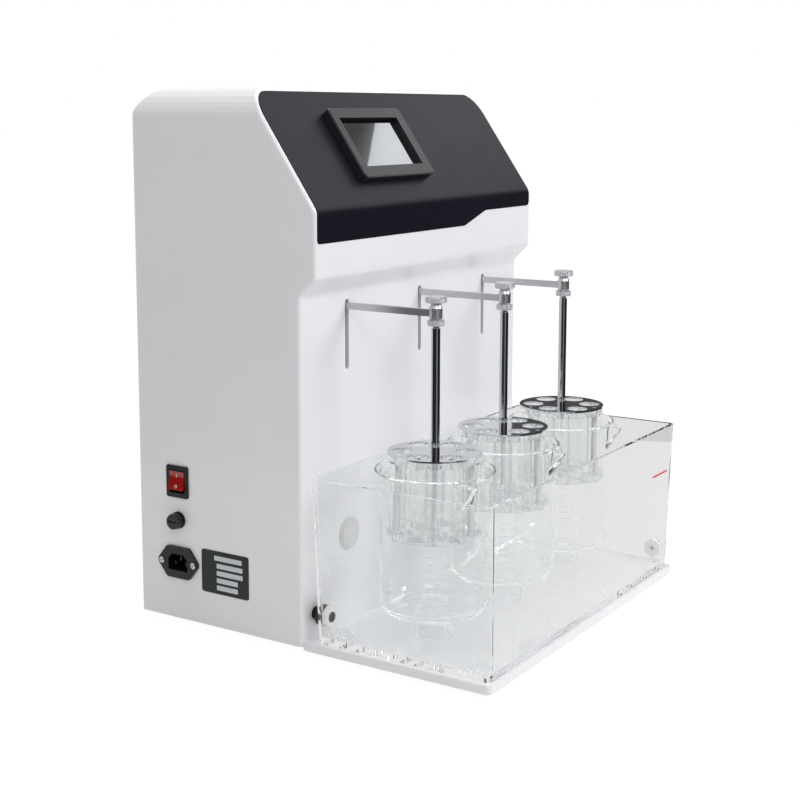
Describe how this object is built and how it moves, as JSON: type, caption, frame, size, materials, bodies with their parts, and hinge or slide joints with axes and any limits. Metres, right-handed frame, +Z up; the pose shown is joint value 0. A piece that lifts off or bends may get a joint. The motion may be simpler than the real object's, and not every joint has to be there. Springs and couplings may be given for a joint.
{
  "type": "tablet disintegration tester",
  "caption": "Benchtop tablet disintegration tester: white tower with a sloping black touch panel, clear water bath, beakers and lifting baskets of glass tubes",
  "frame": {"origin": "bottom centre of the tester's bounding box, under the feet", "axes": "+X to the right as the user faces the tester, +Y to its back, +Z up"},
  "size_m": [0.43, 0.402, 0.532],
  "materials": {
    "white_shell": "white gelcoat moulding with a soft gloss",
    "white_plate": "white polymer plate",
    "rear_sheet": "pale powder coat",
    "rubber_foot": "black rubber",
    "black_panel": "blue-black film-faced panel",
    "bezel_plastic": "black satin frame",
    "screen_glass": "dark touch glass",
    "dark_plastic": "black moulded plastic",
    "red_plastic": "red translucent rocker",
    "case_aluminium": "bare machined or folded aluminium",
    "board_green": "green circuit board",
    "frame_steel": "zinc-plated folded sheet",
    "rod_chrome": "polished stainless steel",
    "motor_black": "black stove enamel",
    "belt_rubber": "black neoprene belt",
    "screw_steel": "plain stainless steel",
    "clear_tank": "clear moulded acrylic, faintly blue",
    "pale_plastic": "white nylon",
    "grey_plastic": "grey polymer",
    "beaker_glass": "low-form laboratory glass",
    "hose_rubber": "silicone hose",
    "bushing_steel": "ground bearing steel",
    "clamp_brass": "brass block",
    "arm_steel": "brushed stainless steel flat bar",
    "disc_steel": "mirror-polished stainless steel",
    "clear_plate": "clear acrylic plate",
    "tube_glass": "clear glass tube",
    "mesh_steel": "woven stainless wire cloth"
  },
  "bodies": {
    "frame": {"base_plate": "white_plate", "feet": "rubber_foot", "housing_shell": "white_shell", "rear_panel": "rear_sheet", "panel_screws": "screw_steel", "front_panel": "black_panel", "screen_bezel": "bezel_plastic", "touch_screen": "screen_glass", "screen_box": "dark_plastic", "switch_body": "dark_plastic", "fuse_holder": "dark_plastic", "power_inlet": "dark_plastic", "power_supply": "case_aluminium", "control_board": "board_green", "drive_frame": "frame_steel", "guide_rods": "rod_chrome", "motor": "motor_black", "idler_axle": "rod_chrome", "timing_belt": "belt_rubber", "frame_screws": "screw_steel", "water_tank": "clear_tank", "tank_discs": "clear_tank", "bath_fitting": "dark_plastic", "bath_nut": "pale_plastic", "drain_nut": "pale_plastic", "drain_plug": "pale_plastic", "port_plug": "grey_plastic", "pedestals": "clear_tank", "beaker_1": "beaker_glass", "beaker_2": "beaker_glass", "beaker_3": "beaker_glass", "circulation_pump": "dark_plastic", "pump_hose": "hose_rubber"},
    "carriage": {"crosshead": "case_aluminium", "bushings": "bushing_steel", "belt_clamp": "clamp_brass", "carriage_screws": "screw_steel", "arm_1": "arm_steel", "arm_2": "arm_steel", "arm_3": "arm_steel", "hanger_rod_1": "rod_chrome", "hanger_rod_2": "rod_chrome", "hanger_rod_3": "rod_chrome", "lock_nuts": "rod_chrome", "steel_discs": "disc_steel", "upper_plates": "clear_plate", "lower_plates": "clear_plate", "tubes_1": "tube_glass", "tubes_2": "tube_glass", "tubes_3": "tube_glass", "mesh_discs": "mesh_steel", "basket_bolts": "screw_steel"},
    "drive_rotor": {"motor_shaft": "rod_chrome", "drive_pulley": "case_aluminium"},
    "idler_rotor": {"idler_pulley": "case_aluminium"},
    "rocker_switch": {"rocker": "red_plastic"},
    "fuse_cap_body": {"fuse_cap": "dark_plastic"},
    "hanger_knob_1": {"knob_1": "rod_chrome"},
    "hanger_knob_2": {"knob_2": "rod_chrome"},
    "hanger_knob_3": {"knob_3": "rod_chrome"}
  },
  "joints": [
    {"name": "basket_lift", "type": "slide", "parent": "frame", "child": "carriage", "axis": [0, 0, 1], "range_m": [-0.055, 0]},
    {"name": "drive_pulley_turn", "type": "hinge", "parent": "frame", "child": "drive_rotor", "pos_m": [0.005, 0.068, 0.205], "axis": [0, 1, 0], "range_deg": [0, 221]},
    {"name": "idler_pulley_turn", "type": "hinge", "parent": "frame", "child": "idler_rotor", "pos_m": [0.005, 0.068, 0.392], "axis": [0, 1, 0], "range_deg": [0, 221]},
    {"name": "rocker_tilt", "type": "hinge", "parent": "frame", "child": "rocker_switch", "pos_m": [-0.199, 0.1495, 0.149], "axis": [0, 1, 0], "range_deg": [-16, 0]},
    {"name": "fuse_cap_turn", "type": "hinge", "parent": "frame", "child": "fuse_cap_body", "pos_m": [-0.209, 0.1495, 0.11], "axis": [1, 0, 0], "range_deg": [0, 90]},
    {"name": "knob_1_turn", "type": "hinge", "parent": "carriage", "child": "hanger_knob_1", "pos_m": [-0.128, -0.099, 0.3386], "axis": [0, 0, 1], "range_deg": [0, 360]},
    {"name": "knob_2_turn", "type": "hinge", "parent": "carriage", "child": "hanger_knob_2", "pos_m": [0.005, -0.099, 0.3386], "axis": [0, 0, 1], "range_deg": [0, 360]},
    {"name": "knob_3_turn", "type": "hinge", "parent": "carriage", "child": "hanger_knob_3", "pos_m": [0.138, -0.099, 0.3386], "axis": [0, 0, 1], "range_deg": [0, 360]}
  ],
  "couplings": [
    {"joint": "drive_pulley_turn", "follows": "basket_lift", "rad_per_m": -69.813},
    {"joint": "idler_pulley_turn", "follows": "basket_lift", "rad_per_m": -69.813}
  ]
}
